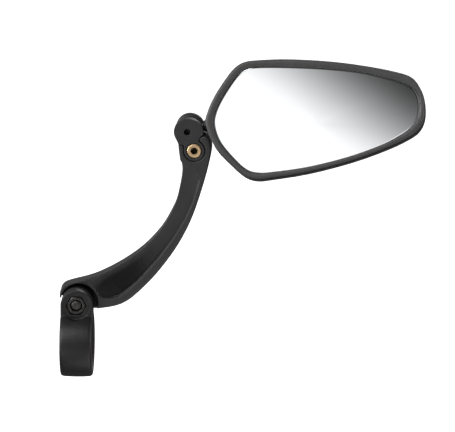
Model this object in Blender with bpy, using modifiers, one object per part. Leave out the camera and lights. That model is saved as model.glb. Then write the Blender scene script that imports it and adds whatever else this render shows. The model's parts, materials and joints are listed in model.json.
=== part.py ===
"""Bicycle handlebar mirror: split bar clamp, curved arm, clamped ball joint and five-cornered head.

Metres, +Z up. The origin is the centre of the clamp's bore, +X runs along the bar and the rider is at -Y.
"""

import math

import bmesh
import bpy
import numpy as np
from mathutils import Matrix, Vector

MM = 0.001

# Clamp, all in millimetres
BAR_R = 11.1
SHIM_OUTER_R = 12.2
BAND_BORE_R = 12.5
BAND_R = 16.0
BAND_WIDTH = 15.0
BOLT_Z = 19.0
EAR_R = 7.42
EAR_BACK_Y = 7.8
EAR_FACE_Y = -7.0
SPLIT_FRONT_Y = -2.0
SPLIT_BACK_Y = -1.0
BOLT_R = 2.5
BOLT_HOLE_R = 2.8
NUT_FLATS = 8.0
NUT_POCKET_FLATS = 8.6
NUT_POCKET_FLOOR_Y = -3.2
NUT_THICK = 3.2
SPOT_FACE_R = 6.7
SPOT_FACE_Y = -6.8

# Arm
ARM_FRONT_Y = 1.5
ARM_BACK_Y = 11.5
LUG_FRONT_Y = 8.2
LUG_R = 5.0
RECESS_X = 0.95
RECESS_R = 8.7
SCOOP_EDGE_DEPTH = 0.3
SCOOP_DEPTH_LOW = 2.7
SCOOP_DEPTH_HIGH = 1.2

# Ball joint
BALL_X = 52.1
BALL_Y = 8.8
BALL_Z = 100.55
BALL_R = 4.3
SEAT_INNER_R = 4.6
SEAT_OUTER_R = 5.3
SOCKET_R = 5.6
SOCKET_DISC_R = 6.9
SOCKET_BACK_Y = 15.2
COVER_FLATTENED = 0.92
VENT_X = 51.5
VENT_R = 1.55
SLOT_HALF = 2.6
SLOT_HALF_AT_RIM = 3.6
COVER_BACK_Y = 6.2
EYE_X = 54.75
EYE_Z = 91.7
EYE_R = 4.8
EYE_SCREW_R = 2.0
EYE_HEAD_R = 3.3
FIT = 0.3
STEM_RISE = math.radians(12.0)

# Head
HEAD_X = 60.1
HEAD_Y = -1.0
HEAD_Z = 106.2
HEAD_LEAN = math.radians(18.0)
GLASS_RADIUS = 1800.0
GLASS_MIDDLE = (52.0, 0.0)
GLASS_DEPTH = 1.5
GLASS_THICK = 1.8
FOAM_DEPTH = 3.6
FOAM_THICK = 1.0
TRAY_DEPTH = 4.9
TRAY_THICK = 1.2
SHELL_DEPTH = 4.5
SHELL_BACK = 15.2
SHELL_WALL = 1.1
SHELL_SHIFT = (0.4, -0.6)
TRAY_SCREWS = ((24.0, 13.0), (28.0, -14.0), (80.0, 4.0))


def collection(name, helper):
    """A collection in the scene. Helpers are kept out of renders."""
    made = bpy.data.collections.new(name)
    bpy.context.scene.collection.children.link(made)
    made.hide_render = helper
    return made


for old in list(bpy.data.objects):
    bpy.data.objects.remove(old, do_unlink=True)
PART = collection("bike_mirror", False)
CUTTERS = collection("cutters", True)


def material(name, colour, metallic, roughness):
    made = bpy.data.materials.new(name)
    made.use_nodes = True
    shader = made.node_tree.nodes["Principled BSDF"]
    shader.inputs["Base Color"].default_value = (*colour, 1.0)
    shader.inputs["Metallic"].default_value = metallic
    shader.inputs["Roughness"].default_value = roughness
    return made


def add_object(name, build, helper=False):
    """A mesh object from a bmesh in millimetres, welded and with its faces turned outwards."""
    bmesh.ops.remove_doubles(build, verts=build.verts, dist=0.001)
    bmesh.ops.dissolve_degenerate(build, edges=build.edges, dist=0.0005)
    bmesh.ops.recalc_face_normals(build, faces=build.faces)
    bmesh.ops.scale(build, vec=(MM, MM, MM), verts=build.verts)
    mesh = bpy.data.meshes.new(name)
    build.to_mesh(mesh)
    build.free()
    made = bpy.data.objects.new(name, mesh)
    (CUTTERS if helper else PART).objects.link(made)
    if helper:
        made.hide_render = True
        made.display_type = "WIRE"
    return made


# Outlines: lists of (across, up) points in millimetres.


def smooth(points, steps, closed=False):
    """A curve through the points, with this many steps from each to the next."""
    points = np.array(points, float)
    if closed:
        around = np.vstack([points[-1], points, points[0], points[1]])
    else:
        around = np.vstack([2 * points[0] - points[1], points, 2 * points[-1] - points[-2]])
    curve = []
    for a, b, c, d in zip(around[:-3], around[1:-2], around[2:-1], around[3:]):
        slope = c - a
        bend = 2 * a - 5 * b + 4 * c - d
        twist = 3 * b - a - 3 * c + d
        for step in range(steps):
            t = step / steps
            curve.append(0.5 * (2 * b + slope * t + bend * t**2 + twist * t**3))
    if not closed:
        curve.append(points[-1])
    return [tuple(point) for point in curve]


def arc(middle, radius, start, end, count):
    """Points round an arc, from one angle to the other in degrees."""
    angles = np.radians(np.linspace(start, end, count))
    return [(middle[0] + radius * math.cos(a), middle[1] + radius * math.sin(a)) for a in angles]


def circle(middle, radius, count):
    return arc(middle, radius, 0.0, 360.0 - 360.0 / count, count)


def hexagon(middle, flats, first_corner=0.0):
    return arc(middle, flats / math.sqrt(3.0), first_corner, first_corner + 300.0, 6)


def grown(outline, distance):
    """The closed outline moved outwards by a distance, or inwards by a negative one."""
    points = np.array(outline, float)
    before = points - np.roll(points, 1, axis=0)
    after = np.roll(points, -1, axis=0) - points
    before /= np.linalg.norm(before, axis=1)[:, None]
    after /= np.linalg.norm(after, axis=1)[:, None]
    along = before + after
    along /= np.linalg.norm(along, axis=1)[:, None]
    across = np.roll(points, -1, axis=0)
    area = np.sum(points[:, 0] * across[:, 1] - across[:, 0] * points[:, 1])
    out = np.stack([along[:, 1], -along[:, 0]], axis=1) * math.copysign(1.0, area)
    corner = np.clip(np.sum(along * after, axis=1), 0.5, 1.0)
    return [tuple(point) for point in points + out * (distance / corner)[:, None]]


# Solids


def prism(outline, low, high):
    """The (x, z) outline as one flat face, extruded along Y between two depths."""
    build = bmesh.new()
    face = build.faces.new([build.verts.new((x, low, z)) for x, z in outline])
    pushed = bmesh.ops.extrude_face_region(build, geom=[face])["geom"]
    far = [piece for piece in pushed if isinstance(piece, bmesh.types.BMVert)]
    bmesh.ops.translate(build, vec=(0.0, high - low, 0.0), verts=far)
    return build


def block(low, high):
    """An upright box between two opposite corners."""
    size = [b - a for a, b in zip(low, high)]
    build = bmesh.new()
    bmesh.ops.create_cube(build, size=1.0)
    bmesh.ops.scale(build, vec=size, verts=build.verts)
    bmesh.ops.translate(build, vec=[(a + b) / 2.0 for a, b in zip(low, high)], verts=build.verts)
    return build


# For each axis: its own direction, where a turned profile's radius starts, and where it turns towards.
TURNING = {
    "X": ((1.0, 0.0, 0.0), (0.0, 1.0, 0.0), (0.0, 0.0, 1.0)),
    "Y": ((0.0, 1.0, 0.0), (1.0, 0.0, 0.0), (0.0, 0.0, 1.0)),
}


def turned(profile, axis, middle=(0.0, 0.0, 0.0), count=48, start=0.0, sweep=360.0):
    """A closed profile of (radius, along) points spun round an axis through the middle."""
    along, outward, onward = [Vector(direction) for direction in TURNING[axis]]
    pivot = outward.cross(onward)
    begin = Matrix.Rotation(math.radians(start), 3, pivot)
    build = bmesh.new()
    points = [begin @ (outward * radius + along * height) for radius, height in profile]
    corners = [build.verts.new(point) for point in points]
    section = []
    for i, corner in enumerate(corners):
        if profile[i - 1][0] > 0.0 or profile[i][0] > 0.0:
            section.append(build.edges.new((corners[i - 1], corner)))
    if sweep < 360.0:
        end = Matrix.Rotation(math.radians(sweep), 3, pivot)
        build.faces.new(corners)
        build.faces.new([build.verts.new(end @ corner.co) for corner in corners])
    bmesh.ops.spin(
        build,
        geom=corners + section,
        cent=(0.0, 0.0, 0.0),
        axis=pivot,
        angle=math.radians(sweep),
        steps=count,
        use_merge=sweep == 360.0,
    )
    bmesh.ops.translate(build, vec=middle, verts=build.verts)
    return build


def loft(rings, closed_tube=False, peaks=(None, None)):
    """Faces between rings of equal length. A tube joins up with its first ring; a peak closes an end."""
    build = bmesh.new()
    made = [[build.verts.new(point) for point in ring] for ring in rings]
    pairs = list(zip(made[:-1], made[1:]))
    if closed_tube:
        pairs.append((made[-1], made[0]))
    count = len(made[0])
    for near, far in pairs:
        for i in range(count):
            j = (i + 1) % count
            build.faces.new((near[i], near[j], far[j], far[i]))
    for ring, peak in ((made[0], peaks[0]), (made[-1], peaks[1])):
        if peak is None:
            continue
        tip = build.verts.new(peak)
        for i in range(count):
            build.faces.new((ring[i], ring[(i + 1) % count], tip))
    return build


# Modifiers


def boolean(target, cutter, operation="DIFFERENCE"):
    modifier = target.modifiers.new(f"{operation.lower()} {cutter.name}", "BOOLEAN")
    modifier.operation = operation
    modifier.solver = "EXACT"
    modifier.object = cutter


def cut(target, name, build, place=None, operation="DIFFERENCE"):
    helper = add_object(f"{target.name}_{name}", build, helper=True)
    if place:
        helper.parent = place
    boolean(target, helper, operation)
    return helper


def soften(target, width, angle=35.0, segments=2):
    modifier = target.modifiers.new("soft edges", "BEVEL")
    modifier.width = width * MM
    modifier.segments = segments
    modifier.limit_method = "ANGLE"
    modifier.angle_limit = math.radians(angle)
    modifier.use_clamp_overlap = True


# Frames: each moving piece hangs from an empty on its own joint axis.


def frame(name, place, turn=(0.0, 0.0, 0.0), carrier=None):
    made = bpy.data.objects.new(name, None)
    made.empty_display_size = 0.01
    made.location = [value * MM for value in place]
    made.rotation_euler = turn
    PART.objects.link(made)
    if carrier:
        made.parent = carrier
        made.matrix_parent_inverse = carrier.matrix_world.inverted()
    bpy.context.view_layer.update()
    return made


ARM_FRAME = frame("arm_frame", (0.0, 0.0, BOLT_Z))
BALL_FRAME = frame("ball_frame", (BALL_X, BALL_Y, BALL_Z), carrier=ARM_FRAME)
STEM_FRAME = frame("stem_frame", (BALL_X, BALL_Y, BALL_Z), (0.0, -STEM_RISE, 0.0), BALL_FRAME)
HEAD_FRAME = frame("head_frame", (HEAD_X, HEAD_Y, HEAD_Z), (-HEAD_LEAN, 0.0, 0.0), STEM_FRAME)


def hang(target, place, coat):
    """Hangs a piece and its cutters, all drawn about the clamp's origin, from a frame that isn't turned."""
    shift = Matrix.Translation(place.matrix_world.translation).inverted()
    cutters = [modifier.object for modifier in target.modifiers if modifier.type == "BOOLEAN"]
    for piece in [target] + cutters:
        piece.data.transform(shift)
        piece.parent = place
    target.data.materials.append(coat)


def fit(target, place, coat):
    """Parents a piece that was drawn in the frame's own directions."""
    target.parent = place
    target.data.materials.append(coat)


NYLON_BLACK = material("arm black", (0.030, 0.030, 0.032), 0.0, 0.55)
CLAMP_BLACK = material("clamp black", (0.034, 0.034, 0.037), 0.0, 0.50)
COVER_BLACK = material("cover black", (0.032, 0.032, 0.034), 0.0, 0.52)
BEZEL_BLACK = material("bezel black", (0.045, 0.045, 0.047), 0.0, 0.45)
SHELL_BLACK = material("shell black", (0.038, 0.038, 0.040), 0.0, 0.50)
RUBBER = material("shim rubber", (0.025, 0.022, 0.020), 0.0, 0.80)
BLACK_STEEL = material("blackened steel", (0.10, 0.10, 0.10), 0.9, 0.38)
STEEL = material("zinc steel", (0.55, 0.55, 0.56), 1.0, 0.32)
BRASS = material("brass", (0.85, 0.55, 0.22), 1.0, 0.28)
SEAT_WHITE = material("seat nylon", (0.62, 0.60, 0.55), 0.0, 0.45)
MIRROR = material("silvered glass", (0.92, 0.93, 0.94), 1.0, 0.02)
FOAM = material("foam", (0.72, 0.72, 0.70), 0.0, 0.90)
TRAY_GREY = material("tray grey", (0.11, 0.11, 0.115), 0.0, 0.55)


# Bar clamp

half = BAND_WIDTH / 2.0
# Across half the ring's width: drop below the full radius, then distance from the edge.
crown = [(1.5, 0.0), (0.95, 0.15), (0.5, 0.6), (0.25, 1.5), (0.08, 4.0)]
left_half = [(BAND_R - drop, -half + inset) for drop, inset in crown]
right_half = [(radius, -along) for radius, along in reversed(left_half)]
band_profile = [(BAND_BORE_R, -half)] + left_half + [(BAND_R, 0.0)] + right_half + [(BAND_BORE_R, half)]
band = add_object("clamp_band", turned(band_profile, "X", count=90, start=90.0))
ear_outline = arc((0.0, BOLT_Z), EAR_R, 0.0, 180.0, 25) + [(-EAR_R, 10.0), (EAR_R, 10.0)]
ears = cut(band, "ears", prism(ear_outline, EAR_FACE_Y, EAR_BACK_Y), operation="UNION")
soften(ears, 0.6, angle=60.0)

# The ears' feet stop inside the ring's wall.
feet_r = (BAND_BORE_R + BAND_R) / 2.0
cut(ears, "feet", turned([(0.0, -9.0), (feet_r, -9.0), (feet_r, 9.0), (0.0, 9.0)], "X", count=64))
cut(band, "split", block((-9.0, SPLIT_FRONT_Y, 5.0), (9.0, SPLIT_BACK_Y, 28.0)))
cut(band, "spot_face", prism(circle((0.0, BOLT_Z), SPOT_FACE_R, 48), -BAND_R, SPOT_FACE_Y))
cut(band, "nut_pocket", prism(hexagon((0.0, BOLT_Z), NUT_POCKET_FLATS), -9.0, NUT_POCKET_FLOOR_Y))
cut(band, "bolt_hole", prism(circle((0.0, BOLT_Z), BOLT_HOLE_R, 32), -5.0, 9.0))
band.data.materials.append(CLAMP_BLACK)

shim_profile = [
    (BAR_R, -half + 0.3),
    (SHIM_OUTER_R, -half + 0.3),
    (SHIM_OUTER_R, half - 0.3),
    (BAR_R, half - 0.3),
]
shim = add_object("bar_shim", turned(shim_profile, "X", count=64, start=102.0, sweep=346.0))
shim.data.materials.append(RUBBER)

# The nut's corners are turned off on both faces, as on a bought nut.
nut_high = NUT_POCKET_FLOOR_Y - FIT
nut_low = nut_high - NUT_THICK
nut = add_object("clamp_nut", prism(hexagon((0.0, BOLT_Z), NUT_FLATS), nut_low, nut_high))
nut_round = [
    (0.0, nut_low - 0.01),
    (NUT_FLATS / 2 - 0.15, nut_low - 0.01),
    (NUT_FLATS / 2 + 1.0, nut_low + 0.75),
    (NUT_FLATS / 2 + 1.0, nut_high - 0.75),
    (NUT_FLATS / 2 - 0.15, nut_high + 0.01),
    (0.0, nut_high + 0.01),
]
cut(nut, "corners", turned(nut_round, "Y", (0.0, 0.0, BOLT_Z), 36, start=5.0), operation="INTERSECT")
cut(nut, "thread", prism(circle((0.0, BOLT_Z), BOLT_HOLE_R, 32), -12.0, 0.0))
nut.data.materials.append(BLACK_STEEL)

washer_low = ARM_BACK_Y + FIT
washer_profile = [
    (BOLT_HOLE_R, washer_low),
    (5.0, washer_low),
    (5.0, washer_low + 1.0),
    (BOLT_HOLE_R, washer_low + 1.0),
]
washer = add_object("clamp_washer", turned(washer_profile, "Y", (0.0, 0.0, BOLT_Z), 40))
washer.data.materials.append(STEEL)

head_low = washer_low + 1.0 + FIT
bolt_profile = [
    (0.0, nut_low - 0.3),
    (1.6, nut_low - 0.3),
    (2.1, nut_low),
    (BOLT_R, nut_low + 0.5),
    (BOLT_R, head_low),
    (4.75, head_low),
    (4.75, head_low + 0.6),
    (4.2, head_low + 1.8),
    (3.0, head_low + 2.5),
    (0.0, head_low + 2.7),
]
bolt = add_object("clamp_bolt", turned(bolt_profile, "Y", (0.0, 0.0, BOLT_Z), 40))
cut(bolt, "socket", prism(hexagon((0.0, BOLT_Z), 3.0), head_low + 0.9, head_low + 4.0))
bolt.data.materials.append(BLACK_STEEL)


# Arm

convex_side = [
    (8.7, 15.6),
    (17.1, 17.0),
    (22.7, 19.2),
    (28.3, 23.6),
    (36.8, 32.4),
    (45.2, 43.6),
    (50.8, 53.3),
    (54.9, 62.8),
    (59.2, 76.2),
    (61.6, 85.5),
    (62.8, 92.2),
    (62.5, 95.0),
    (61.7, 97.4),
    (60.2, 99.0),
]
concave_side = [
    (47.2, 94.6),
    (47.7, 90.3),
    (48.2, 87.0),
    (49.0, 85.5),
    (49.0, 80.5),
    (46.9, 70.0),
    (44.6, 63.7),
    (39.0, 54.0),
    (30.0, 44.4),
    (18.8, 36.6),
    (7.6, 31.1),
    (-3.4, 28.0),
    (-6.8, 26.3),
    (-8.1, 23.8),
    (-8.25, 21.0),
]
lug_foot = arc((0.0, BOLT_Z), LUG_R, 175.0, 308.0, 14)
arm_outline = smooth(convex_side, 4) + smooth(concave_side, 4) + lug_foot
arm = add_object("arm", prism(arm_outline, ARM_FRONT_Y, ARM_BACK_Y))

# The convex side has a wide rounded edge and every other edge a small one.
ROUNDING = 1.3
SMALL_SHARE = 0.35


def lies_on(corner, outline):
    """Whether a prism's corner stands on a point of the outline."""
    return min(math.hypot(corner.x / MM - x, corner.z / MM - z) for x, z in outline) < 0.01


convex_points = smooth(convex_side, 4)
width_layer = arm.data.attributes.new("bevel_weight_edge", "FLOAT", "EDGE")
for edge in arm.data.edges:
    ends = [arm.data.vertices[index].co for index in edge.vertices]
    if abs(ends[0].y - ends[1].y) > 0.1 * MM:
        continue
    on_convex = all(lies_on(end, convex_points) for end in ends)
    width_layer.data[edge.index].value = 1.0 if on_convex else SMALL_SHARE
rounded = arm.modifiers.new("rounded sides", "BEVEL")
rounded.width = ROUNDING * MM
rounded.segments = 3
rounded.limit_method = "WEIGHT"
rounded.use_clamp_overlap = False

back_disc = arc((BALL_X + 0.3, BALL_Z), SOCKET_DISC_R - 0.1, 5.0, 192.0, 22)
back_disc += arc((55.4, 85.0), 4.4, 205.0, 345.0, 14)
back_disc += [(60.7, 91.5), (60.9, 95.5), (60.6, 98.8)]
back_disc_solid = cut(arm, "back_disc", prism(back_disc, ARM_BACK_Y - 1.2, SOCKET_BACK_Y), operation="UNION")
soften(back_disc_solid, 0.7, angle=60.0)

# Behind the horn a narrow fin closes the gap under the neck.
horn_fin = [(56.5, 93.0), (61.8, 93.0), (61.8, 97.0), (61.1, 99.1), (56.5, 99.1)]
cut(arm, "horn_fin", prism(horn_fin, 9.4, ARM_BACK_Y - 0.5), operation="UNION")

# A lip on the lug closes the recess below, just clear of the band.
lug_lip = [(2.4, 14.9), (9.0, 14.6), (9.3, 17.5), (2.4, 17.5)]
cut(arm, "lug_lip", prism(lug_lip, LUG_FRONT_Y + 0.15, ARM_BACK_Y - 0.4), operation="UNION")

# The recess round the clamp's ears leaves the lug behind it and a thin wall above.
recess = prism(circle((RECESS_X, BOLT_Z), RECESS_R, 56), -2.0, LUG_FRONT_Y)
cut(arm, "recess", recess)
cut(arm, "bolt_hole", prism(circle((0.0, BOLT_Z), BOLT_HOLE_R, 32), 5.0, 16.0))

# The scoop falls from the concave side to a crease beside the convex side.
scoop_concave = [
    (3.4, 30.4),
    (18.5, 37.4),
    (29.6, 45.0),
    (38.2, 54.3),
    (44.0, 64.4),
    (47.3, 75.7),
    (46.9, 87.0),
]
scoop_crease = [
    (12.8, 20.9),
    (19.1, 21.6),
    (27.5, 28.4),
    (38.7, 41.2),
    (48.1, 54.9),
    (53.9, 66.5),
    (57.3, 77.9),
]
scoop_low = [(3.4, 30.4), (7.4, 25.8), (9.9, 22.3), (12.8, 20.9)]
scoop_high = [(46.9, 87.0), (49.5, 84.9), (54.0, 82.0), (57.3, 77.9)]
ALONG = 24
ACROSS = 9


def spread(points, count):
    """Evenly spaced points along a smooth curve."""
    curve = np.array(smooth(points, 12))
    length = np.concatenate([[0.0], np.cumsum(np.linalg.norm(np.diff(curve, axis=0), axis=1))])
    wanted = np.linspace(0.0, length[-1], count)
    return np.stack([np.interp(wanted, length, curve[:, k]) for k in (0, 1)], axis=1)


def between(first, last, share):
    return (1 - share) * first + share * last


def scoop_cutter():
    """A patch between four curves, deepest at the crease, closed by a flat lid in front of the arm."""
    left = spread(scoop_concave, ALONG)
    right = spread(scoop_crease, ALONG)
    low = spread(scoop_low, ACROSS)
    high = spread(scoop_high, ACROSS)
    build = bmesh.new()
    floor = []
    lid = []
    for i in range(ALONG):
        v = i / (ALONG - 1)
        floor.append([])
        lid.append([])
        for j in range(ACROSS):
            u = j / (ACROSS - 1)
            sides = between(left[i], right[i], u)
            ends = between(low[j], high[j], v)
            corners = between(between(low[0], high[0], v), between(low[-1], high[-1], v), u)
            x, z = sides + ends - corners
            fade = min(1.0, 4.0 * v + 0.55, 4.0 * (1 - v) + 0.5)
            deepest = between(SCOOP_DEPTH_LOW, SCOOP_DEPTH_HIGH, v)
            depth = between(SCOOP_EDGE_DEPTH, deepest, u) * fade
            floor[i].append(build.verts.new((x, ARM_FRONT_Y + depth, z)))
            lid[i].append(build.verts.new((x, ARM_FRONT_Y - 3.0, z)))
    for sheet in (floor, lid):
        for i in range(ALONG - 1):
            for j in range(ACROSS - 1):
                build.faces.new((sheet[i][j], sheet[i + 1][j], sheet[i + 1][j + 1], sheet[i][j + 1]))
    for i in range(ALONG - 1):
        for j in (0, ACROSS - 1):
            build.faces.new((floor[i][j], floor[i + 1][j], lid[i + 1][j], lid[i][j]))
    for j in range(ACROSS - 1):
        for i in (0, ALONG - 1):
            build.faces.new((floor[i][j], floor[i][j + 1], lid[i][j + 1], lid[i][j]))
    return build


cut(arm, "scoop", scoop_cutter())

# Socket: the cover's own outline, a ball-shaped hollow and a slot for the neck to swing in.
cover_round = arc((BALL_X, BALL_Z), SOCKET_DISC_R, -11.0, 203.0, 44)
cover_outline = (
    [(x, BALL_Z + (z - BALL_Z) * COVER_FLATTENED) for x, z in cover_round]
    + [(46.9, 95.8), (47.4, 94.6), (49.8, 94.5)]
    + arc((EYE_X, EYE_Z), EYE_R, 168.0, 426.0, 34)
    + [(57.1, 97.7), (58.0, 98.8)]
)
cut(arm, "cover_pocket", prism(grown(cover_outline, FIT + 0.05), -2.0, COVER_BACK_Y + FIT))
above_horns = [
    (44.0, 94.9),
    (50.2, 94.8),
    (56.9, 97.9),
    (59.0, 99.3),
    (64.0, 99.3),
    (64.0, 110.0),
    (44.0, 110.0),
]
cut(arm, "above_horns", prism(above_horns, -2.0, COVER_BACK_Y + FIT))


def slot_profile(reach):
    return [
        (0.0, -SLOT_HALF),
        (5.75, -SLOT_HALF),
        (6.7, -SLOT_HALF_AT_RIM),
        (reach, -SLOT_HALF_AT_RIM),
        (reach, SLOT_HALF_AT_RIM),
        (6.7, SLOT_HALF_AT_RIM),
        (5.75, SLOT_HALF),
        (0.0, SLOT_HALF),
    ]


socket_middle = (BALL_X, BALL_Y, BALL_Z)
half_ball = [(0.0, -SOCKET_R)] + arc((0.0, 0.0), SOCKET_R, -81.0, 81.0, 19) + [(0.0, SOCKET_R)]
cut(arm, "ball_hollow", turned(half_ball, "Y", socket_middle, 48))
cut(arm, "neck_slot", turned(slot_profile(8.4), "Y", socket_middle, 34, start=-11.5, sweep=219.5))
cut(arm, "vent", prism(circle((BALL_X, BALL_Z), VENT_R, 22), BALL_Y + 2.0, 16.0))
cut(arm, "screw_hole", prism(circle((EYE_X, EYE_Z), EYE_SCREW_R + FIT, 28), 4.0, 16.0))
cut(arm, "nut_pocket", prism(hexagon((EYE_X, EYE_Z), 7.6, 30.0), SOCKET_BACK_Y - 3.6, 16.0))
hang(arm, ARM_FRAME, NYLON_BLACK)

cover = add_object("socket_cover", prism(cover_outline, ARM_FRONT_Y, COVER_BACK_Y))
cut(cover, "ball_hollow", turned(half_ball, "Y", socket_middle, 48))
cut(cover, "neck_slot", turned(slot_profile(9.0), "Y", socket_middle, 34, start=-11.5, sweep=219.5))
cut(cover, "vent", prism(circle((VENT_X, BALL_Z), VENT_R, 24), 0.0, BALL_Y))
cut(cover, "screw_hole", prism(circle((EYE_X, EYE_Z), EYE_SCREW_R + FIT, 28), 0.0, 8.0))
cut(cover, "screw_head", prism(circle((EYE_X, EYE_Z), EYE_HEAD_R + FIT, 40), 0.0, 4.5))
hang(cover, ARM_FRAME, COVER_BLACK)

screw_profile = [
    (0.0, 1.1),
    (EYE_HEAD_R - 0.35, 1.1),
    (EYE_HEAD_R, 1.45),
    (EYE_HEAD_R, 4.2),
    (EYE_SCREW_R, 4.2),
    (EYE_SCREW_R, 13.9),
    (EYE_SCREW_R - 0.5, 14.4),
    (0.0, 14.4),
]
eye_screw = add_object("socket_screw", turned(screw_profile, "Y", (EYE_X, 0.0, EYE_Z), 40))
cut(eye_screw, "socket", prism(hexagon((EYE_X, EYE_Z), 3.0, 12.0), 0.0, 2.8))
hang(eye_screw, ARM_FRAME, BRASS)

eye_nut_outline = hexagon((EYE_X, EYE_Z), 7.0, 30.0)
eye_nut = add_object("socket_nut", prism(eye_nut_outline, SOCKET_BACK_Y - 3.3, SOCKET_BACK_Y - 0.3))
cut(eye_nut, "thread", prism(circle((EYE_X, EYE_Z), EYE_SCREW_R + FIT, 28), 8.0, 18.0))
hang(eye_nut, ARM_FRAME, STEEL)

# Each seat is a dish round the ball, open at its pole and short of the neck's slot.
def seat_arc(radius, side):
    """The dish's section at one radius, from beside the slot to the opening at its pole."""
    rim = math.degrees(math.asin((SLOT_HALF + 0.1) / radius))
    pole = math.degrees(math.acos(1.7 / radius))
    return [(r, side * along) for r, along in arc((0.0, 0.0), radius, rim, pole, 6)]


for seat_name, side in (("seat_front", -1.0), ("seat_rear", 1.0)):
    outer = seat_arc(SEAT_OUTER_R, side)
    inner = seat_arc(SEAT_INNER_R, side)[::-1]
    seat = add_object(seat_name, turned(outer + inner, "Y", (0.0, 0.0, 0.0), 28))
    fit(seat, BALL_FRAME, SEAT_WHITE)

# Ball, neck, flare and spigot in one piece, with a blind hole for the screw in the spigot.
NECK_R = 1.6
neck_angle = math.degrees(math.acos(NECK_R / BALL_R))
ball_profile = [(0.0, -BALL_R)] + arc((0.0, 0.0), BALL_R, -80.0, neck_angle, 14)
ball_profile += [
    (NECK_R, 6.3),
    (2.0, 6.9),
    (2.7, 7.4),
    (2.7, 9.5),
    (1.8, 9.5),
    (1.8, 15.6),
    (0.0, 15.6),
]
stem = add_object("ball_stem", turned(ball_profile, "X", (0.0, 0.0, 0.0), 32))
stem_bore = [(0.0, 10.8), (1.2, 10.8), (1.2, 17.0), (0.0, 17.0)]
cut(stem, "screw_hole", turned(stem_bore, "X", count=20), STEM_FRAME)
fit(stem, STEM_FRAME, BLACK_STEEL)

stem_washer_profile = [(1.2, 15.9), (2.5, 15.9), (2.5, 16.4), (1.2, 16.4)]
stem_washer = add_object("stem_washer", turned(stem_washer_profile, "X", (0.0, 0.0, 0.0), 32))
fit(stem_washer, STEM_FRAME, STEEL)

stem_screw_profile = [
    (0.0, 11.4),
    (0.9, 11.4),
    (0.9, 16.7),
    (2.1, 16.7),
    (2.1, 17.6),
    (1.4, 18.2),
    (0.0, 18.2),
]
stem_screw = add_object("stem_screw", turned(stem_screw_profile, "X", (0.0, 0.0, 0.0), 28))
cut(stem_screw, "cross_a", block((17.5, -0.25, -1.0), (19.5, 0.25, 1.0)), STEM_FRAME)
cut(stem_screw, "cross_b", block((17.5, -1.0, -0.25), (19.5, 1.0, 0.25)), STEM_FRAME)
fit(stem_screw, STEM_FRAME, STEEL)


# Head: drawn facing -Y with its left corner near the frame's origin, depth backwards along +Y.
# Each row is one station round the rim: the bezel's outer edge, then the edge of the glass.
rim_stations = [
    ((0.0, -1.2), (3.6, -1.4)),
    ((0.7, 4.5), (4.3, 4.6)),
    ((3.7, 11.7), (7.3, 11.2)),
    ((8.5, 19.6), (11.9, 18.6)),
    ((12.8, 25.2), (15.3, 22.9)),
    ((17.2, 28.15), (18.6, 25.2)),
    ((23.5, 29.25), (24.0, 26.1)),
    ((38.0, 29.9), (38.0, 26.2)),
    ((56.5, 29.15), (56.5, 25.55)),
    ((73.4, 27.25), (72.5, 24.0)),
    ((88.0, 24.6), (86.5, 20.9)),
    ((95.9, 21.9), (94.5, 18.2)),
    ((100.1, 16.4), (98.5, 14.8)),
    ((101.8, 9.7), (99.9, 9.3)),
    ((101.7, 2.9), (99.3, 3.6)),
    ((99.3, -2.4), (96.6, -0.8)),
    ((94.2, -6.3), (92.3, -4.3)),
    ((84.2, -11.2), (83.0, -9.6)),
    ((67.7, -17.35), (67.0, -15.7)),
    ((48.0, -22.7), (48.0, -20.7)),
    ((31.3, -25.6), (31.3, -23.3)),
    ((24.2, -26.4), (24.6, -23.7)),
    ((18.4, -24.7), (19.5, -22.4)),
    ((12.0, -19.4), (13.5, -17.4)),
    ((4.4, -11.4), (6.5, -9.2)),
]
RIM_STEPS = 3
rim_outer = np.array(smooth([outer for outer, inner in rim_stations], RIM_STEPS, closed=True))
rim_glass = np.array(smooth([inner for outer, inner in rim_stations], RIM_STEPS, closed=True))
head_middle = np.array(GLASS_MIDDLE)


def bow(x, z):
    """How far the convex glass falls back at a point."""
    return ((x - GLASS_MIDDLE[0]) ** 2 + (z - GLASS_MIDDLE[1]) ** 2) / (2.0 * GLASS_RADIUS)


def flat_ring(outline, depth):
    return [(x, depth, z) for x, z in outline]


def bowed_ring(outline, share, depth):
    points = head_middle + (np.array(outline) - head_middle) * share
    return [(x, depth + bow(x, z), z) for x, z in points]


def bowed_plate(outline, depth, thick):
    """A plate bent like the glass."""
    shares = (0.35, 0.7, 1.0)
    front = [bowed_ring(outline, share, depth) for share in shares]
    back = [bowed_ring(outline, share, depth + thick) for share in reversed(shares)]
    x, z = GLASS_MIDDLE
    return loft(front + back, peaks=((x, depth, z), (x, depth + thick, z)))


# Across the bezel: share of the way from the outer edge to the glass, then depth.
bezel_section = [
    (0.00, 4.2),
    (0.00, 1.3),
    (0.06, 0.6),
    (0.18, 0.15),
    (0.40, 0.0),
    (0.72, 0.08),
    (0.92, 0.25),
    (1.00, 0.6),
    (1.00, 1.25),
    (0.85, 1.25),
    (0.85, 5.5),
    (0.62, 5.5),
    (0.62, 4.2),
]
bezel_rings = [flat_ring(between(rim_outer, rim_glass, share), depth) for share, depth in bezel_section]
bezel = add_object("head_bezel", loft(bezel_rings, closed_tube=True))
fit(bezel, HEAD_FRAME, BEZEL_BLACK)

glass = add_object("mirror_glass", bowed_plate(grown(rim_glass, 0.15), GLASS_DEPTH, GLASS_THICK))
fit(glass, HEAD_FRAME, MIRROR)

foam = add_object("foam_pad", bowed_plate(grown(rim_glass, -1.5), FOAM_DEPTH, FOAM_THICK))
tray = add_object("glass_tray", bowed_plate(grown(rim_glass, -0.2), TRAY_DEPTH, TRAY_THICK))

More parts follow.
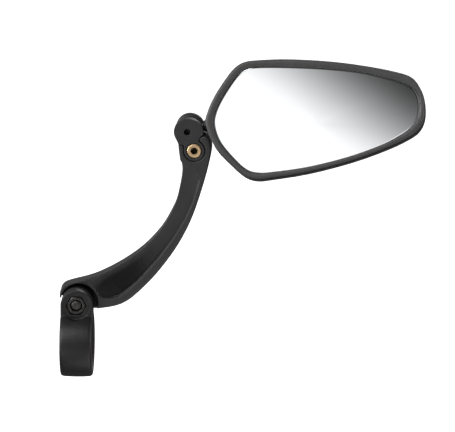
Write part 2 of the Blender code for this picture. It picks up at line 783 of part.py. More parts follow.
# Across the shell: growth of the rim, share of the way to the middle, then depth.
# The outer skin runs from the middle to the rim and the inner skin back again.
shell_sections = [
    (-2.4, 0.50, 15.0),
    (-2.4, 0.20, 14.6),
    (-2.4, 0.05, 13.9),
    (-0.9, 0.02, 12.6),
    (-0.2, 0.01, 10.6),
    (0.0, 0.00, 8.0),
    (0.0, 0.00, SHELL_DEPTH),
    (-SHELL_WALL, 0.00, SHELL_DEPTH),
    (-SHELL_WALL, 0.00, 8.0),
    (-1.7, 0.01, 10.0),
    (-2.6, 0.02, 11.6),
    (-3.2, 0.07, 13.9 - SHELL_WALL),
    (-2.4, 0.20, 14.6 - SHELL_WALL),
    (-2.4, 0.50, 15.0 - SHELL_WALL),
]
shell_rings = []
for growth, share, depth in shell_sections:
    outline = np.array(grown(rim_outer, growth)) + SHELL_SHIFT
    shell_rings.append(flat_ring(outline + (head_middle - outline) * share, depth))
middle_x, middle_z = GLASS_MIDDLE
shell_peaks = ((middle_x, SHELL_BACK, middle_z), (middle_x, SHELL_BACK - SHELL_WALL, middle_z))
shell = add_object("head_shell", loft(shell_rings, peaks=shell_peaks))
fit(shell, HEAD_FRAME, SHELL_BLACK)

# Boss for the stem's spigot, then three posts for the tray, then their holes.
stem_boss = turned([(0.0, 9.3), (3.4, 9.3), (3.4, 15.3), (0.0, 15.3)], "X", count=32)
cut(shell, "stem_boss", stem_boss, STEM_FRAME, "UNION")
for number, (x, z) in enumerate(TRAY_SCREWS, 1):
    drop = bow(x, z)
    post = prism(circle((x, z), 2.7, 24), TRAY_DEPTH + TRAY_THICK + drop + FIT, SHELL_BACK - 1.1)
    cut(shell, f"post_{number}", post, HEAD_FRAME, "UNION")
for number, (x, z) in enumerate(TRAY_SCREWS, 1):
    hole = prism(circle((x, z), 1.2, 20), 3.0, 12.0)
    cut(shell, f"post_hole_{number}", hole, HEAD_FRAME)
stem_hole = [(0.0, 5.0), (3.0, 5.0), (3.0, 9.8), (2.1, 9.8), (2.1, 17.0), (0.0, 17.0)]
cut(shell, "stem_hole", turned(stem_hole, "X", count=32), STEM_FRAME)

for number, (x, z) in enumerate(TRAY_SCREWS, 1):
    drop = bow(x, z)
    cut(foam, f"hole_{number}", prism(circle((x, z), 2.5, 24), 2.0, 8.0), HEAD_FRAME)
    cut(tray, f"hole_{number}", prism(circle((x, z), 1.2, 20), 2.0, 9.0), HEAD_FRAME)
    pan = [
        (0.0, FOAM_DEPTH + drop),
        (1.3, FOAM_DEPTH + drop),
        (2.1, FOAM_DEPTH + drop + 0.4),
        (2.1, TRAY_DEPTH + drop - FIT),
        (0.9, TRAY_DEPTH + drop - FIT),
        (0.9, 11.0),
        (0.0, 11.4),
    ]
    tray_screw = add_object(f"tray_screw_{number}", turned(pan, "Y", (x, 0.0, z), 24))
    fit(tray_screw, HEAD_FRAME, STEEL)
cut(tray, "stem_notch", block((-2.0, 3.0, -8.0), (14.5, 9.0, 11.0)), HEAD_FRAME)
fit(foam, HEAD_FRAME, FOAM)
fit(tray, HEAD_FRAME, TRAY_GREY)
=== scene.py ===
"""Looks of a bicycle handlebar mirror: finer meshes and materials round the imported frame, and a studio."""

import json
import math

import bmesh
import bpy
import numpy as np
from mathutils import Matrix, Vector

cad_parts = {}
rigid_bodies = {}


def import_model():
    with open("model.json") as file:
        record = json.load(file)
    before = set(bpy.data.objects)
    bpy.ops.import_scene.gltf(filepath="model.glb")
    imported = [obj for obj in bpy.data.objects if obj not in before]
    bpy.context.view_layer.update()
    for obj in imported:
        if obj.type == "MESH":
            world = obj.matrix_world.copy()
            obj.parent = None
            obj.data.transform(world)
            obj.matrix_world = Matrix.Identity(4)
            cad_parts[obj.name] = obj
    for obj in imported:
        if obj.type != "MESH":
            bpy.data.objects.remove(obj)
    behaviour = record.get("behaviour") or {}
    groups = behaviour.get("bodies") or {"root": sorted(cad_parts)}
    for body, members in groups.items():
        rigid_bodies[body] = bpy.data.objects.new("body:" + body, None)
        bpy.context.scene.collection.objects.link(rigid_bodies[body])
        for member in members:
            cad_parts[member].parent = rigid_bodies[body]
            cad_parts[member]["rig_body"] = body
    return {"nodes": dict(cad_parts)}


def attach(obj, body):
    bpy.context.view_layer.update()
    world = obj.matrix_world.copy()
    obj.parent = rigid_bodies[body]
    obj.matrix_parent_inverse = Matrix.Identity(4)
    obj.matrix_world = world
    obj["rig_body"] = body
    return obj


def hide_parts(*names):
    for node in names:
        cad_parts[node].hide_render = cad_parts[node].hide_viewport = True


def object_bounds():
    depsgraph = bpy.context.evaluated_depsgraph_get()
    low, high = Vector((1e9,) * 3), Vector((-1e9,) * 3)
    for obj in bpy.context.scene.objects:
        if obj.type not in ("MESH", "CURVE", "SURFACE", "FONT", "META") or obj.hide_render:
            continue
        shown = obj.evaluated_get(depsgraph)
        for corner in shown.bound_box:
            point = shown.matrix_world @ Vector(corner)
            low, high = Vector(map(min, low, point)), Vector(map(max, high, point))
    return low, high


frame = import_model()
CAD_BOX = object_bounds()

MM = 0.001
NODES = frame["nodes"]
OBJECT_MIDDLE = (Vector(CAD_BOX[0]) + Vector(CAD_BOX[1])) / 2.0
WHITE = (1.0, 1.0, 1.0)
WARM_WHITE = (1.0, 0.985, 0.96)

# Head: the frame it leans in and the depths of its pieces, in millimetres
HEAD_PLACE = (60.1, -1.0, 106.2)
HEAD_LEAN = math.radians(18.0)
GLASS_RADIUS = 1800.0
GLASS_MIDDLE = (52.0, 0.0)
GLASS_DEPTH = 1.5
GLASS_THICK = 1.8
GLASS_BACK = GLASS_DEPTH + GLASS_THICK
GLASS_UNDER_BEZEL = 0.15
RIM_STEPS = 12
# The bezel is drawn this far inside the CAD's edge, which keeps it in the CAD's box.
RIM_INSET = 0.08

# Painted shade and polish of the arm's scoop, in millimetres. The scoop's lower end is painted darker, as
# shade, and its plastic there is made smoother; both are a guess.
SCOOP_MIDDLE = (20.0, 3.5, 32.0)
SHADE_AND_POLISH_FULL_TO = 9.0
SHADE_AND_POLISH_ENDS_AT = 42.0
SCOOP_DEPTH = 1.9
RECESS_FADE = 0.6
# A surface normal's Y: at the first it looks forward, at the second it no longer does.
FACING_FULL = -0.8
FACING_NONE = -0.5
PAINTED_SHADE_TONE = 0.12
POLISHED_ROUGHNESS = 0.20

# Turned metal: the pitch of its rings and the fades of a recess painted dark as shade, in millimetres
TURNING_PITCH = 0.18
RECESS_SHADE_RADIUS_FADE = 0.1
RECESS_SHADE_DEPTH_FADE = 0.25
PAINTED_RECESS_SHADE_TONE = 0.02

# Studio, in metres
WORLD_GREY = (0.14, 0.14, 0.145)
FLOOR_HALF = 30.0
FLOOR_DROP = 0.35
CARD_SIZE = 1.0
CARD_DISTANCE = 3.0
# The card's brightness changes along this direction on it, between these two places.
CARD_SLOPE = (0.56, 0.83, 0.0)
CARD_LIGHT_UNTIL = -0.050
CARD_DARK_FROM = 0.260
CARD_LIGHT = 1.09
CARD_DARK = 0.12
CARD_CURVE = 2.2

# Camera: nearly square to the bar, a little above it, from far off. Degrees and metres.
AZIMUTH = 3.0
ELEVATION = 12.0
DISTANCE = 6.0
FRAME_WIDTH = 0.21262
AIM_RIGHT = 0.07028
AIM_UP = 0.05911
SENSOR_WIDTH = 36.0
CLIP_NEAR = 0.1
CLIP_FAR = 200.0


# Meshes


def in_scene(name, mesh):
    piece = bpy.data.objects.new(name, mesh)
    bpy.context.scene.collection.objects.link(piece)
    return piece


def square(name, half):
    """A flat square round its own origin."""
    mesh = bpy.data.meshes.new(name)
    corners = [(-half, -half, 0.0), (half, -half, 0.0), (half, half, 0.0), (-half, half, 0.0)]
    mesh.from_pydata(corners, [], [(0, 1, 2, 3)])
    return in_scene(name, mesh)


def stands_for(piece, node, material):
    """Puts a finished piece in its node's place on the node's body."""
    piece.data.materials.clear()
    piece.data.materials.append(material)
    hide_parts(node)
    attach(piece, NODES[node]["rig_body"])


def remoulded(node, voxel, passes):
    """The node's solid with every edge rounded, as a moulding or a casting has them."""
    piece = in_scene(f"{node}_fine", NODES[node].data.copy())
    weld = piece.modifiers.new("weld", "WELD")
    weld.merge_threshold = 0.002 * MM
    remesh = piece.modifiers.new("remesh", "REMESH")
    remesh.mode = "VOXEL"
    remesh.voxel_size = voxel * MM
    relax = piece.modifiers.new("relax", "SMOOTH")
    relax.factor = 0.5
    relax.iterations = passes
    bpy.context.view_layer.update()
    evaluated = piece.evaluated_get(bpy.context.evaluated_depsgraph_get())
    mesh = bpy.data.meshes.new_from_object(evaluated)
    piece.modifiers.clear()
    piece.data = mesh
    mesh.shade_smooth()
    return piece


def smooth_loop(points, steps):
    """A closed curve through the points, with this many steps from each to the next."""
    points = np.array(points, float)
    around = np.vstack([points[-1], points, points[0], points[1]])
    curve = []
    for a, b, c, d in zip(around[:-3], around[1:-2], around[2:-1], around[3:]):
        for t in np.arange(steps) / steps:
            first = (c - a) * t
            second = (2 * a - 5 * b + 4 * c - d) * t**2
            third = (3 * b - a - 3 * c + d) * t**3
            curve.append(0.5 * (2 * b + first + second + third))
    return np.array(curve)


def grown(outline, distance):
    """The closed outline moved outwards by a distance."""
    before = outline - np.roll(outline, 1, axis=0)
    after = np.roll(outline, -1, axis=0) - outline
    before /= np.linalg.norm(before, axis=1)[:, None]
    after /= np.linalg.norm(after, axis=1)[:, None]
    along = before + after
    along /= np.linalg.norm(along, axis=1)[:, None]
    across = np.roll(outline, -1, axis=0)
    area = np.sum(outline[:, 0] * across[:, 1] - across[:, 0] * outline[:, 1])
    out = np.stack([along[:, 1], -along[:, 0]], axis=1) * math.copysign(1.0, area)
    return outline + out * distance


def loft(name, rings, closed_tube=False, peaks=(None, None)):
    """Faces between rings of equal length, in the head's own directions and millimetres."""
    build = bmesh.new()
    made = [[build.verts.new(point) for point in ring] for ring in rings]
    pairs = list(zip(made[:-1], made[1:]))
    if closed_tube:
        pairs.append((made[-1], made[0]))
    count = len(made[0])
    for near, far in pairs:
        for i in range(count):
            j = (i + 1) % count
            build.faces.new((near[i], near[j], far[j], far[i]))
    for ring, peak in ((made[0], peaks[0]), (made[-1], peaks[1])):
        if peak is None:
            continue
        tip = build.verts.new(peak)
        for i in range(count):
            build.faces.new((ring[i], ring[(i + 1) % count], tip))
    bmesh.ops.recalc_face_normals(build, faces=build.faces)
    lean = Matrix.Rotation(-HEAD_LEAN, 4, "X")
    to_row = Matrix.Translation(Vector(HEAD_PLACE) * MM) @ lean @ Matrix.Scale(MM, 4)
    bmesh.ops.transform(build, matrix=to_row, verts=build.verts)
    mesh = bpy.data.meshes.new(name)
    build.to_mesh(mesh)
    build.free()
    mesh.shade_smooth()
    return in_scene(name, mesh)


# Materials


class Recipe:
    """A material's node tree, with short ways to add the nodes that the recipes share."""

    def __init__(self, name):
        self.material = bpy.data.materials.new(name)
        self.material.use_nodes = True
        self.tree = self.material.node_tree
        self.shader = self.tree.nodes["Principled BSDF"]
        self.place = self.add("ShaderNodeTexCoord").outputs["Object"]

    def add(self, kind, **settings):
        node = self.tree.nodes.new(kind)
        for key, value in settings.items():
            setattr(node, key, value)
        return node

    def link(self, source, target):
        self.tree.links.new(source, target)

    def noise(self, scale, detail=2.0, rough=0.5, stretch=(1.0, 1.0, 1.0)):
        """Cloudy noise, from 0 to 1, with this many clouds to a metre."""
        spread = self.add("ShaderNodeMapping")
        spread.inputs["Scale"].default_value = stretch
        node = self.add("ShaderNodeTexNoise")
        node.inputs["Scale"].default_value = scale
        node.inputs["Detail"].default_value = detail
        node.inputs["Roughness"].default_value = rough
        self.link(self.place, spread.inputs["Vector"])
        self.link(spread.outputs["Vector"], node.inputs["Vector"])
        return node.outputs["Fac"]

    def between(self, value, low, high, to_low, to_high):
        """The value carried from one range to another."""
        node = self.add("ShaderNodeMapRange")
        node.inputs["From Min"].default_value = low
        node.inputs["From Max"].default_value = high
        node.inputs["To Min"].default_value = to_low
        node.inputs["To Max"].default_value = to_high
        self.link(value, node.inputs["Value"])
        return node.outputs["Result"]

    def maths(self, operation, first, second=None):
        """A math node on a socket and, where it takes two, on a number or another socket."""
        node = self.add("ShaderNodeMath", operation=operation)
        self.link(first, node.inputs[0])
        if isinstance(second, float):
            node.inputs[1].default_value = second
        elif second:
            self.link(second, node.inputs[1])
        return node.outputs[0]

    def product(self, first, second):
        return self.maths("MULTIPLY", first, second)

    def mix(self, share, first, second):
        """A colour between two, each a colour or a socket."""
        node = self.add("ShaderNodeMix", data_type="RGBA")
        for socket, value in ((node.inputs[6], first), (node.inputs[7], second)):
            if isinstance(value, tuple):
                socket.default_value = (*value, 1.0)
            else:
                self.link(value, socket)
        self.link(share, node.inputs["Factor"])
        return node.outputs[2]

    def edges(self, low, high):
        """0 on flats and in hollows, 1 on outer edges."""
        bend = self.add("ShaderNodeNewGeometry").outputs["Pointiness"]
        return self.between(bend, low, high, 0.0, 1.0)

    def painted_shade_and_polish(self, middle, near, far, depth):
        """A mask of painted shade and polish: 1 on a surface that faces forward, lies deep enough and is
        near a place, and 0 elsewhere.
        """
        away = self.add("ShaderNodeVectorMath", operation="DISTANCE")
        self.link(self.place, away.inputs[0])
        away.inputs[1].default_value = [value * MM for value in middle]
        closeness = self.between(away.outputs["Value"], near * MM, far * MM, 1.0, 0.0)
        apart = self.add("ShaderNodeSeparateXYZ")
        self.link(self.place, apart.inputs[0])
        sunk = self.between(apart.outputs["Y"], depth * MM, (depth + RECESS_FADE) * MM, 0.0, 1.0)
        turned = self.add("ShaderNodeSeparateXYZ")
        self.link(self.add("ShaderNodeTexCoord").outputs["Normal"], turned.inputs[0])
        facing = self.between(turned.outputs["Y"], FACING_FULL, FACING_NONE, 1.0, 0.0)
        return self.product(self.product(closeness, sunk), facing)

    def bump(self, height, strength, distance, below=None):
        node = self.add("ShaderNodeBump")
        node.inputs["Strength"].default_value = strength
        node.inputs["Distance"].default_value = distance * MM
        self.link(height, node.inputs["Height"])
        if below:
            self.link(below, node.inputs["Normal"])
        return node.outputs["Normal"]

    def finish(self, colour, roughness, normal=None, **constants):
        if isinstance(colour, tuple):
            constants["Base Color"] = (*colour, 1.0)
        else:
            self.link(colour, self.shader.inputs["Base Color"])
        self.link(roughness, self.shader.inputs["Roughness"])
        if normal:
            self.link(normal, self.shader.inputs["Normal"])
        for name, value in constants.items():
            self.shader.inputs[name].default_value = value
        return self.material


def moulded_plastic(name, colour, wear_and_painted_light, rough, grain=3400.0, shade_and_polish_place=None):
    """Plastic with a fine eroded grain, faint flow clouds and edges painted a little lighter: rubbed wear,
    and on the bezel also a painted highlight.

    A place of painted shade and polish is a middle, the reach where they start to fade, the reach where they
    end and the depth (Y) from which the surface has them, all in millimetres. There the colour is painted
    darker as shade and the plastic made smoother."""
    recipe = Recipe(name)
    clouds = recipe.noise(140.0, 4.0, 0.6)
    base = recipe.mix(clouds, tuple(c * 0.8 for c in colour), tuple(c * 1.2 for c in colour))
    rubbed_and_highlit_edges = recipe.edges(0.55, 0.66)
    scuffs = recipe.between(recipe.noise(700.0, 5.0, 0.7), 0.45, 0.65, 0.25, 1.0)
    tone = recipe.mix(recipe.product(rubbed_and_highlit_edges, scuffs), base, wear_and_painted_light)
    roughness = recipe.between(recipe.noise(420.0, 3.0), 0.3, 0.7, rough - 0.05, rough + 0.05)
    # Painted shade: the colour is darkened where the mask is 1, and the roughness lowered there.
    if shade_and_polish_place:
        share = recipe.painted_shade_and_polish(*shade_and_polish_place)
        tone = recipe.mix(share, tone, tuple(c * PAINTED_SHADE_TONE for c in colour))
        smooth = recipe.add("ShaderNodeMix")
        recipe.link(share, smooth.inputs["Factor"])
        recipe.link(roughness, smooth.inputs["A"])
        smooth.inputs["B"].default_value = POLISHED_ROUGHNESS
        roughness = smooth.outputs["Result"]
    fine = recipe.noise(grain, 3.0, 0.6)
    broad = recipe.noise(600.0, 2.0)
    normal = recipe.bump(fine, 0.35, 0.02, recipe.bump(broad, 0.08, 0.03))
    return recipe.finish(tone, roughness, normal)


def turned_metal(name, colour, dark, rough, middle, recess=None):
    """Metal turned about a Y axis through a middle: rings, fine scratches and patches of darker film.

    A recess is the radius and depth, in millimetres, past which a pocket's colour is painted dark as shade."""
    recipe = Recipe(name)
    shift = recipe.add("ShaderNodeMapping")
    shift.inputs["Location"].default_value = [-value * MM for value in middle]
    recipe.link(recipe.place, shift.inputs["Vector"])
    flat = recipe.add("ShaderNodeVectorMath", operation="MULTIPLY")
    flat.inputs[1].default_value = (1.0, 0.0, 1.0)
    recipe.link(shift.outputs["Vector"], flat.inputs[0])
    reach = recipe.add("ShaderNodeVectorMath", operation="LENGTH")
    recipe.link(flat.outputs["Vector"], reach.inputs[0])
    turns = recipe.product(reach.outputs["Value"], 2.0 * math.pi / (TURNING_PITCH * MM))
    rings = recipe.maths("SINE", turns)
    film = recipe.between(recipe.noise(900.0, 5.0, 0.7), 0.35, 0.7, 0.0, 1.0)
    tone = recipe.mix(film, colour, dark)
    wear_and_painted_light = recipe.mix(recipe.edges(0.52, 0.62), tone, tuple(min(1.0, c * 1.35) for c in colour))
    # Painted shade: inside the recess the colour is darkened nearly to black.
    if recess:
        radius, depth = recess
        inner = (radius - RECESS_SHADE_RADIUS_FADE) * MM
        within = recipe.between(reach.outputs["Value"], inner, radius * MM, 1.0, 0.0)
        apart = recipe.add("ShaderNodeSeparateXYZ")
        recipe.link(recipe.place, apart.inputs[0])
        full_depth = (depth + RECESS_SHADE_DEPTH_FADE) * MM
        sunk = recipe.between(apart.outputs["Y"], depth * MM, full_depth, 0.0, 1.0)
        wear_and_painted_light = recipe.mix(recipe.product(within, sunk), wear_and_painted_light, tuple(c * PAINTED_RECESS_SHADE_TONE for c in colour))
    roughness = recipe.between(recipe.noise(1500.0, 4.0), 0.3, 0.7, rough - 0.07, rough + 0.08)
    ringed = recipe.bump(rings, 0.12, 0.01)
    normal = recipe.bump(recipe.noise(2600.0, 4.0, 0.65), 0.2, 0.01, ringed)
    return recipe.finish(wear_and_painted_light, roughness, normal, Metallic=1.0)


def soft_matt(name, colour, light, rough, pores):
    """Rubber or foam: pores, blotches and no gloss."""
    recipe = Recipe(name)
    tone = recipe.mix(recipe.noise(260.0, 4.0, 0.6), colour, light)
    cells = recipe.add("ShaderNodeTexVoronoi")
    cells.inputs["Scale"].default_value = pores
    recipe.link(recipe.place, cells.inputs["Vector"])
    roughness = recipe.between(recipe.noise(500.0), 0.3, 0.7, rough - 0.06, rough + 0.06)
    normal = recipe.bump(cells.outputs["Distance"], 0.5, 0.06)
    return recipe.finish(tone, roughness, normal)


def silvered_glass():
    """A second-surface mirror: faint dust and wiping marks over a clean reflection."""
    recipe = Recipe("silvered glass")
    streaks = recipe.noise(55.0, 4.0, 0.55, (1.0, 1.0, 3.0))
    specks = recipe.between(recipe.noise(2400.0, 2.0), 0.72, 0.8, 0.0, 0.06)
    roughness = recipe.maths("ADD", recipe.between(streaks, 0.4, 0.75, 0.008, 0.035), specks)
    tone = recipe.mix(streaks, (0.93, 0.94, 0.95), (0.90, 0.915, 0.925))
    return recipe.finish(tone, roughness, Metallic=1.0)


# Directions and lights


def direction(azimuth, elevation):
    """Away from the object. Azimuth is in degrees from the rider's side, and grows to the right."""
    turn, rise = math.radians(azimuth), math.radians(elevation)
    return Vector((math.sin(turn) * math.cos(rise), -math.cos(turn) * math.cos(rise), math.sin(rise)))


def standing(place, across, up, back):
    """The matrix of something at a place, with its own X, Y and Z along these directions."""
    return Matrix.Translation(place) @ Matrix((across, up, back)).transposed().to_4x4()


def soft_light(name, azimuth, elevation, distance, size, radiance, tint=WHITE):
    """A box of light aimed at the object's middle."""
    away = direction(azimuth, elevation)
    lamp = bpy.data.lights.new(name, "AREA")
    lamp.shape = "RECTANGLE"
    lamp.size, lamp.size_y = size
    lamp.energy = radiance * math.pi * lamp.size * lamp.size_y
    lamp.color = tint
    made = bpy.data.objects.new(name, lamp)
    bpy.context.scene.collection.objects.link(made)
    made.location = OBJECT_MIDDLE + away * distance
    made.rotation_euler = (-away).to_track_quat("-Z", "Y").to_euler()
    made.visible_camera = False


# Materials of the pieces

# The arm's scoop is painted darker at its lower end, as shade, and made smoother there.
ARM_BLACK = moulded_plastic(
    "arm black",
    (0.033, 0.033, 0.034),
    (0.09, 0.09, 0.092),
    0.42,
    shade_and_polish_place=(SCOOP_MIDDLE, SHADE_AND_POLISH_FULL_TO, SHADE_AND_POLISH_ENDS_AT, SCOOP_DEPTH),
)
COVER_BLACK = moulded_plastic("cover black", (0.031, 0.031, 0.032), (0.06, 0.06, 0.062), 0.40)
CLAMP_BLACK = moulded_plastic("clamp black", (0.009, 0.009, 0.010), (0.06, 0.06, 0.062), 0.44)
# The bezel's light edge colour is partly rubbed wear and partly a painted highlight along the glass's edge.
BEZEL_BLACK = moulded_plastic(
    "bezel black", (0.068, 0.066, 0.066), (0.26, 0.26, 0.265), 0.42, grain=4200.0
)
SHELL_BLACK = moulded_plastic("shell black", (0.030, 0.030, 0.032), (0.06, 0.06, 0.06), 0.40)
TRAY_GREY = moulded_plastic("tray grey", (0.10, 0.10, 0.105), (0.16, 0.16, 0.16), 0.5)
SEAT_BLACK = moulded_plastic("seat nylon", (0.010, 0.010, 0.010), (0.03, 0.03, 0.03), 0.5)
SHIM_RUBBER = soft_matt("shim rubber", (0.020, 0.016, 0.014), (0.032, 0.027, 0.024), 0.78, 2600.0)
FOAM = soft_matt("foam", (0.66, 0.66, 0.63), (0.76, 0.76, 0.73), 0.92, 1900.0)
GLASS = silvered_glass()
bolt_middle = (0.0, 0.0, 19.0)
eye_middle = (54.75, 0.0, 91.7)
BLACK_BOLT = turned_metal("blackened bolt", (0.12, 0.115, 0.11), (0.03, 0.03, 0.03), 0.42, bolt_middle)
STEM_BLACK = moulded_plastic("stem black", (0.024, 0.024, 0.025), (0.08, 0.08, 0.08), 0.45)
# The brass screw's hex socket is painted dark as shade.
GOLD_SCREW = turned_metal(
    "gold screw", (0.98, 0.72, 0.42), (0.82, 0.56, 0.30), 0.42, eye_middle, recess=(2.0, 1.0)
)
ZINC = turned_metal("zinc steel", (0.56, 0.57, 0.58), (0.33, 0.34, 0.35), 0.34, bolt_middle)
ZINC_EYE = turned_metal("zinc eye nut", (0.56, 0.57, 0.58), (0.33, 0.34, 0.35), 0.34, eye_middle)


# Moulded, cast and turned pieces

FINE_PIECES = [
    ("clamp_band", 0.24, 5, "clamp_plastic", CLAMP_BLACK),
    ("bar_shim", 0.24, 3, "shim_rubber", SHIM_RUBBER),
    ("clamp_bolt", 0.14, 3, "black_steel", BLACK_BOLT),
    ("clamp_nut", 0.12, 3, "black_steel", BLACK_BOLT),
    ("clamp_washer", 0.12, 3, "zinc_steel", ZINC),
    ("arm", 0.27, 10, "arm_plastic", ARM_BLACK),
    ("socket_cover", 0.16, 4, "cover_plastic", COVER_BLACK),
    ("socket_screw", 0.10, 3, "brass", GOLD_SCREW),
    ("socket_nut", 0.12, 3, "zinc_steel", ZINC_EYE),
    ("seat_front", 0.12, 3, "seat_nylon", SEAT_BLACK),
    ("seat_rear", 0.12, 3, "seat_nylon", SEAT_BLACK),
    ("ball_stem", 0.12, 3, "black_steel", STEM_BLACK),
    ("head_shell", 0.30, 6, "shell_plastic", SHELL_BLACK),
]
for node, voxel, passes, slot, material in FINE_PIECES:
    stands_for(remoulded(node, voxel, passes), node, material)

# Pieces hidden inside the head keep the frame's meshes.
INSIDE = {
    "foam_pad": FOAM,
    "glass_tray": TRAY_GREY,
    "stem_washer": ZINC,
    "stem_screw": ZINC,
    "tray_screw_1": ZINC,
    "tray_screw_2": ZINC,
    "tray_screw_3": ZINC,
}
for node, material in INSIDE.items():
    NODES[node].data.materials.clear()
    NODES[node].data.materials.append(material)


# Bezel and glass: each row is the bezel's outer edge, then the edge of the glass.

rim_stations = [
    ((0.0, -1.2), (3.6, -1.4)),
    ((0.7, 4.5), (4.3, 4.6)),
    ((3.7, 11.7), (7.3, 11.2)),
    ((8.5, 19.6), (11.9, 18.6)),
    ((12.8, 25.2), (15.3, 22.9)),
    ((17.2, 28.15), (18.6, 25.2)),
    ((23.5, 29.25), (24.0, 26.1)),
    ((38.0, 29.9), (38.0, 26.2)),
    ((56.5, 29.15), (56.5, 25.55)),
    ((73.4, 27.25), (72.5, 24.0)),
    ((88.0, 24.6), (86.5, 20.9)),
    ((95.9, 21.9), (94.5, 18.2)),
    ((100.1, 16.4), (98.5, 14.8)),
    ((101.8, 9.7), (99.9, 9.3)),
    ((101.7, 2.9), (99.3, 3.6)),
    ((99.3, -2.4), (96.6, -0.8)),
    ((94.2, -6.3), (92.3, -4.3)),
    ((84.2, -11.2), (83.0, -9.6)),
    ((67.7, -17.35), (67.0, -15.7)),
    ((48.0, -22.7), (48.0, -20.7)),
    ((31.3, -25.6), (31.3, -23.3)),
    ((24.2, -26.4), (24.6, -23.7)),
    ((18.4, -24.7), (19.5, -22.4)),
    ((12.0, -19.4), (13.5, -17.4)),
    ((4.4, -11.4), (6.5, -9.2)),
]
rim_outer = grown(smooth_loop([outer for outer, inner in rim_stations], RIM_STEPS), -RIM_INSET)
rim_glass = smooth_loop([inner for outer, inner in rim_stations], RIM_STEPS)
head_middle = np.array(GLASS_MIDDLE)


def flat_ring(outline, depth):
    return [(x, depth, z) for x, z in outline]


def bowed_ring(outline, depth):
    """A ring on the convex glass."""
    drops = np.sum((outline - head_middle) ** 2, axis=1) / (2.0 * GLASS_RADIUS)
    return [(x, depth + drop, z) for (x, z), drop in zip(outline, drops)]


# Across the bezel: share of the way from the outer edge to the glass, then depth.
bezel_section = [
    (0.00, 4.2),
    (0.00, 2.6),
    (0.00, 1.35),
    (0.015, 0.95),
    (0.06, 0.58),
    (0.12, 0.30),
    (0.20, 0.12),
    (0.30, 0.03),
    (0.42, 0.00),
    (0.56, 0.02),
    (0.72, 0.08),
    (0.84, 0.15),
    (0.92, 0.24),
    (0.97, 0.38),
    (1.00, 0.62),
    (1.00, 1.25),
    (0.85, 1.25),
    (0.85, 5.5),
    (0.62, 5.5),
    (0.62, 4.2),
]
bezel_rings = [
    flat_ring(rim_outer + (rim_glass - rim_outer) * share, depth) for share, depth in bezel_section
]
bezel = loft("head_bezel_fine", bezel_rings, closed_tube=True)
stands_for(bezel, "head_bezel", BEZEL_BLACK)

# The glass, from its front middle round the edge to its back. Each row of the ground edge is how
# far inside the plate's edge it lies, then its depth.
plate = grown(rim_glass, GLASS_UNDER_BEZEL)
ground_edge = [
    (0.25, GLASS_DEPTH),
    (0.08, GLASS_DEPTH + 0.06),
    (0.0, GLASS_DEPTH + 0.25),
    (0.0, GLASS_BACK - 0.2),
    (0.2, GLASS_BACK),
]


def inner_ring(share, depth):
    """A ring on the glass, this share of the way from its middle to its edge."""
    return bowed_ring(head_middle + (plate - head_middle) * share, depth)


glass_rings = [inner_ring(share, GLASS_DEPTH) for share in (0.12, 0.3, 0.5, 0.7, 0.86, 0.97)]
glass_rings += [bowed_ring(grown(plate, -inset), depth) for inset, depth in ground_edge]
glass_rings += [inner_ring(share, GLASS_BACK) for share in (0.8, 0.4)]
middle_x, middle_z = GLASS_MIDDLE
glass_peaks = ((middle_x, GLASS_DEPTH, middle_z), (middle_x, GLASS_BACK, middle_z))
glass = loft("mirror_glass_fine", glass_rings, peaks=glass_peaks)
stands_for(glass, "mirror_glass", GLASS)


# Studio

floor = square("floor", FLOOR_HALF)
floor.location = (0.0, 0.0, -FLOOR_DROP)
floor_recipe = Recipe("floor white")
floor_rough = floor_recipe.between(floor_recipe.noise(6.0), 0.3, 0.7, 0.85, 0.95)
floor_shade = floor_recipe.mix(floor_recipe.noise(3.0), (0.93, 0.93, 0.93), (0.95, 0.95, 0.95))
floor_glow = {"Emission Color": (*WHITE, 1.0), "Emission Strength": 1.0}
floor.data.materials.append(floor_recipe.finish(floor_shade, floor_rough, **floor_glow))
# The floor is only seen: it doesn't light the part, and the low lights reach it through the floor.
floor.visible_diffuse = False
floor.visible_glossy = False
floor.visible_shadow = False

world = bpy.data.worlds.new("studio")
bpy.context.scene.world = world
world.use_nodes = True
tree = world.node_tree
background = tree.nodes["Background"]
path = tree.nodes.new("ShaderNodeLightPath")
surround = tree.nodes.new("ShaderNodeMix")
surround.data_type = "RGBA"
surround.inputs[6].default_value = (*WORLD_GREY, 1.0)
surround.inputs[7].default_value = (*WHITE, 1.0)
# The camera sees white round the part, and the part is lit by a dim grey.
tree.links.new(path.outputs["Is Camera Ray"], surround.inputs["Factor"])
tree.links.new(surround.outputs[2], background.inputs["Color"])

soft_light("upper front box", -20.0, 45.0, 2.2, (0.8, 0.8), 3.4)
soft_light("left front box", -45.0, 30.0, 2.2, (1.2, 1.2), 3.8, WARM_WHITE)
soft_light("low left card", -25.0, -22.0, 2.2, (1.2, 0.8), 1.5)
soft_light("low right card", 30.0, -25.0, 2.2, (1.2, 0.8), 1.2)
soft_light("bottom card", 35.0, -60.0, 1.8, (1.4, 1.0), 1.5)
soft_light("right front card", 45.0, 20.0, 2.2, (1.0, 1.2), 0.7)
soft_light("left side box", -90.0, 10.0, 1.8, (0.8, 1.2), 7.0, WARM_WHITE)
soft_light("right side box", 90.0, 10.0, 1.8, (0.8, 1.2), 3.2)
soft_light("back box", 150.0, 40.0, 1.8, (1.6, 1.0), 4.0)


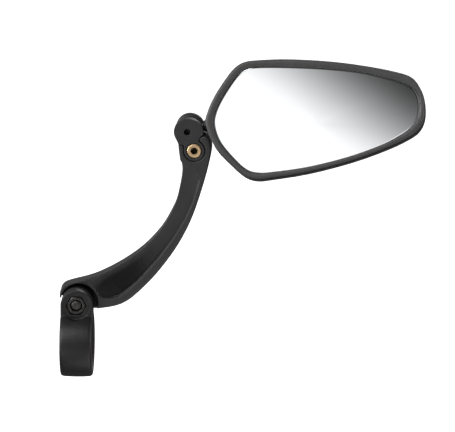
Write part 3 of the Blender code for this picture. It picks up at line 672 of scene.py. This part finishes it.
def mirror_card(glass_middle, view_from):
    """A card that the glass reflects: white, falling softly to dark towards the upper right."""
    toward = (view_from - glass_middle).normalized()
    facing = Vector((0.0, -math.cos(HEAD_LEAN), math.sin(HEAD_LEAN)))
    bounce = (2.0 * facing.dot(toward) * facing - toward).normalized()
    card = square("mirror card", CARD_SIZE / 2.0)
    across = Vector((0.0, 0.0, 1.0)).cross(bounce).normalized()
    up = bounce.cross(across)
    card.matrix_world = standing(glass_middle + bounce * CARD_DISTANCE, across, up, bounce)
    made = bpy.data.materials.new("mirror card")
    made.use_nodes = True
    nodes, links = made.node_tree.nodes, made.node_tree.links
    nodes.clear()
    place = nodes.new("ShaderNodeTexCoord")
    slope = nodes.new("ShaderNodeVectorMath")
    slope.operation = "DOT_PRODUCT"
    slope.inputs[1].default_value = CARD_SLOPE
    fall = nodes.new("ShaderNodeMapRange")
    fall.interpolation_type = "SMOOTHSTEP"
    fall.inputs["From Min"].default_value = CARD_LIGHT_UNTIL
    fall.inputs["From Max"].default_value = CARD_DARK_FROM
    fall.inputs["To Min"].default_value = CARD_LIGHT
    fall.inputs["To Max"].default_value = CARD_DARK
    curve = nodes.new("ShaderNodeMath")
    curve.operation = "POWER"
    curve.inputs[1].default_value = CARD_CURVE
    glow = nodes.new("ShaderNodeEmission")
    end = nodes.new("ShaderNodeOutputMaterial")
    links.new(place.outputs["Object"], slope.inputs[0])
    links.new(slope.outputs["Value"], fall.inputs["Value"])
    links.new(fall.outputs["Result"], curve.inputs[0])
    links.new(curve.outputs[0], glow.inputs["Strength"])
    links.new(glow.outputs["Emission"], end.inputs["Surface"])
    card.data.materials.append(made)
    card.visible_camera = False
    card.visible_shadow = False


# Camera

back = direction(AZIMUTH, ELEVATION)
right = Vector((math.cos(math.radians(AZIMUTH)), math.sin(math.radians(AZIMUTH)), 0.0))
up = back.cross(right)
aim = right * AIM_RIGHT + up * AIM_UP
camera_data = bpy.data.cameras.new("camera")
camera = bpy.data.objects.new("camera", camera_data)
bpy.context.scene.collection.objects.link(camera)
camera.matrix_world = standing(aim + back * DISTANCE, right, up, back)
camera_data.sensor_width = SENSOR_WIDTH
camera_data.lens = SENSOR_WIDTH * DISTANCE / FRAME_WIDTH
camera_data.clip_start = CLIP_NEAR
camera_data.clip_end = CLIP_FAR
bpy.context.scene.camera = camera
bpy.context.scene.view_settings.view_transform = "Standard"

# Corners 0 and 6 of a bounding box are opposite.
low, high = (glass.matrix_world @ Vector(glass.bound_box[corner]) for corner in (0, 6))
mirror_card((low + high) / 2.0, camera.matrix_world.translation)
